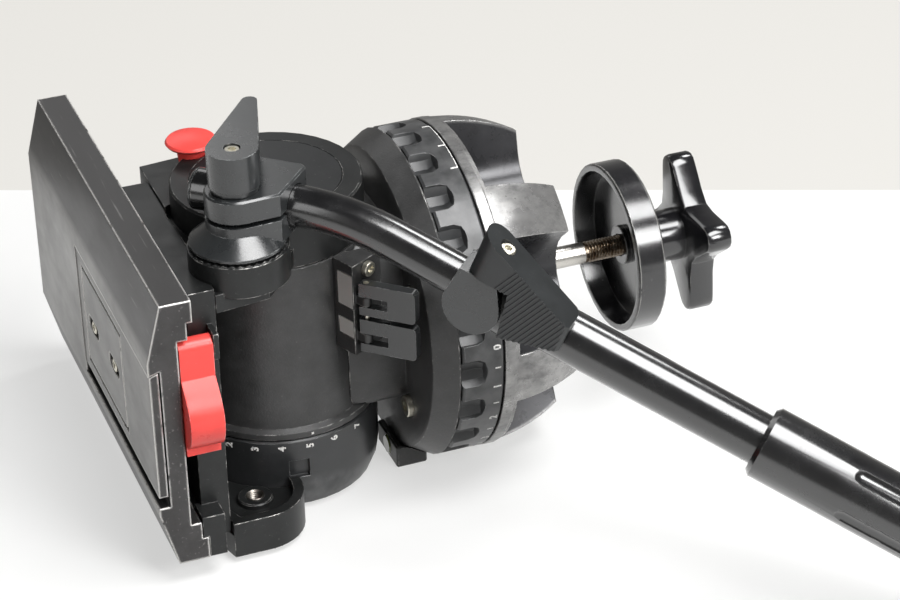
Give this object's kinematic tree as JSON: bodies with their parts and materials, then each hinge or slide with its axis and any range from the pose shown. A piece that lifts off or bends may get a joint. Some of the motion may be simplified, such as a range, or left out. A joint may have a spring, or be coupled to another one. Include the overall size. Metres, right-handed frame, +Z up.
{
  "type": "fluid video head",
  "caption": "Pan and tilt head lying on its side: lobed half ball with tie-down, drag rings, tilt drum, sliding camera platform, clamp lever and a telescopic pan bar on a toothed rosette.",
  "frame": {"origin": "centre of the flat foot under the tilt axis, on the plane that the head lies on", "axes": "+Z up along the tilt axis, +X along the pan axis from the camera platform to the half ball, +Y along the platform away from the pan bar"},
  "size_m": [0.3273, 0.4058, 0.1897],
  "materials": {
    "black_anodised": "satin black anodised, worn to bare metal on the edges",
    "black_plastic": "matte, moulded, dark greenish grey",
    "gloss_black": "glossy black",
    "gloss_rubber": "smooth and shiny from handling",
    "gloss_plastic": "glossy moulded",
    "red_plastic": "satin moulded",
    "bright_steel": "bright turned",
    "bearing_bronze": "plain",
    "level_glass": "clear over a yellow-green fluid"
  },
  "bodies": {
    "base": {"half_ball": "black_anodised", "tie_down_stud": "bright_steel", "pan_axle": "bright_steel"},
    "pan_ring": {"pan_drag_ring": "black_anodised"},
    "cup": {"tie_down_cup": "gloss_black"},
    "star": {"star_knob": "gloss_plastic"},
    "pan_body": {"pan_housing": "black_anodised", "disc_screw_1": "bright_steel", "disc_screw_2": "bright_steel", "disc_screw_3": "bright_steel", "disc_screw_4": "bright_steel", "pan_bearing": "bearing_bronze", "tilt_drum": "black_anodised", "tilt_bearing_upper": "bearing_bronze", "tilt_bearing_lower": "bearing_bronze", "brake_block": "black_plastic", "brake_clip_upper": "bright_steel", "brake_clip_lower": "bright_steel", "brake_block_screw": "bright_steel", "brake_hinge_pin": "bright_steel", "level_housing": "black_plastic", "level_vial": "level_glass"},
    "tilt_ring": {"tilt_drag_ring": "black_anodised"},
    "tilt_brake": {"tilt_brake_lever": "black_plastic"},
    "pan_brake": {"pan_brake_lever": "black_plastic"},
    "tilt_head": {"bed": "black_anodised", "upper_arm": "black_anodised", "end_cap": "black_anodised", "lower_arm": "black_anodised", "tilt_axle": "bright_steel", "lever_pin": "bright_steel"},
    "camera_platform": {"platform": "black_anodised", "slide_plate": "black_anodised", "camera_plate": "black_anodised", "camera_screw_1": "bright_steel", "camera_screw_2": "bright_steel"},
    "red_lever": {"clamp_lever": "red_plastic"},
    "button": {"safety_button": "red_plastic"},
    "bar": {"bar_jaw": "black_plastic", "bar_clamp": "black_plastic", "inner_tube": "gloss_black", "tube_plug": "black_plastic", "clamp_bolt": "bright_steel"},
    "wing": {"wing_knob": "black_plastic", "wing_screw": "bright_steel"},
    "outer_bar": {"telescope_lock": "black_plastic", "outer_tube": "gloss_black", "bar_grip": "gloss_rubber"},
    "bar_lever": {"telescope_lever": "black_plastic", "lever_screw": "bright_steel"}
  },
  "joints": [
    {"name": "pan", "type": "hinge", "parent": "base", "child": "pan_body", "pos_m": [0.0545, 0, 0.0754], "axis": [1, 0, 0], "continuous": true},
    {"name": "pan_drag", "type": "hinge", "parent": "base", "child": "pan_ring", "pos_m": [0.0705, 0, 0.0754], "axis": [1, 0, 0], "range_deg": [0, 110]},
    {"name": "tie_down", "type": "slide", "parent": "base", "child": "cup", "axis": [1, 0, 0], "range_m": [-0.014, 0]},
    {"name": "star_turn", "type": "hinge", "parent": "cup", "child": "star", "pos_m": [0.2, 0, 0.0754], "axis": [1, 0, 0], "range_deg": [0, 2880]},
    {"name": "tilt", "type": "hinge", "parent": "pan_body", "child": "tilt_head", "pos_m": [0, 0, 0.0754], "axis": [0, 0, 1], "range_deg": [-70, 25]},
    {"name": "tilt_drag", "type": "hinge", "parent": "pan_body", "child": "tilt_ring", "pos_m": [0, 0, 0.0204], "axis": [0, 0, 1], "range_deg": [0, 112]},
    {"name": "tilt_brake_turn", "type": "hinge", "parent": "pan_body", "child": "tilt_brake", "pos_m": [0.02619, -0.05225, 0.1083], "axis": [0, 0, 1], "range_deg": [-45, 0]},
    {"name": "pan_brake_turn", "type": "hinge", "parent": "pan_body", "child": "pan_brake", "pos_m": [0.02619, -0.05225, 0.0904], "axis": [0, 0, 1], "range_deg": [-45, 0]},
    {"name": "platform_slide", "type": "slide", "parent": "tilt_head", "child": "camera_platform", "axis": [0, 1, 0], "range_m": [-0.02, 0.02]},
    {"name": "red_lever_turn", "type": "hinge", "parent": "tilt_head", "child": "red_lever", "pos_m": [-0.056, -0.0712, 0.1144], "axis": [1, 0, 0], "range_deg": [-60, 0]},
    {"name": "button_push", "type": "slide", "parent": "tilt_head", "child": "button", "axis": [0, 0, -1], "range_m": [0, 0.002], "stiffness_N_per_m": 1500, "springref_m": -0.001},
    {"name": "bar_swing", "type": "hinge", "parent": "tilt_head", "child": "bar", "pos_m": [-0.0275, -0.048, 0.1464], "axis": [0, 0, 1], "range_deg": [-100, 0]},
    {"name": "wing_turn", "type": "hinge", "parent": "bar", "child": "wing", "pos_m": [-0.0275, -0.048, 0.1774], "axis": [0, 0, 1], "range_deg": [-90, 90]},
    {"name": "bar_telescope", "type": "slide", "parent": "bar", "child": "outer_bar", "axis": [0.6878, -0.6237, -0.3714], "range_m": [-0.025, 0.08]},
    {"name": "bar_lever_turn", "type": "hinge", "parent": "outer_bar", "child": "bar_lever", "pos_m": [0.05498, -0.1151, 0.13258], "axis": [0.2751, -0.2495, 0.9285], "range_deg": [-60, 0]}
  ],
  "couplings": [
    {"joint": "tie_down", "follows": "star_turn", "m_per_rad": -0.00027852}
  ]
}
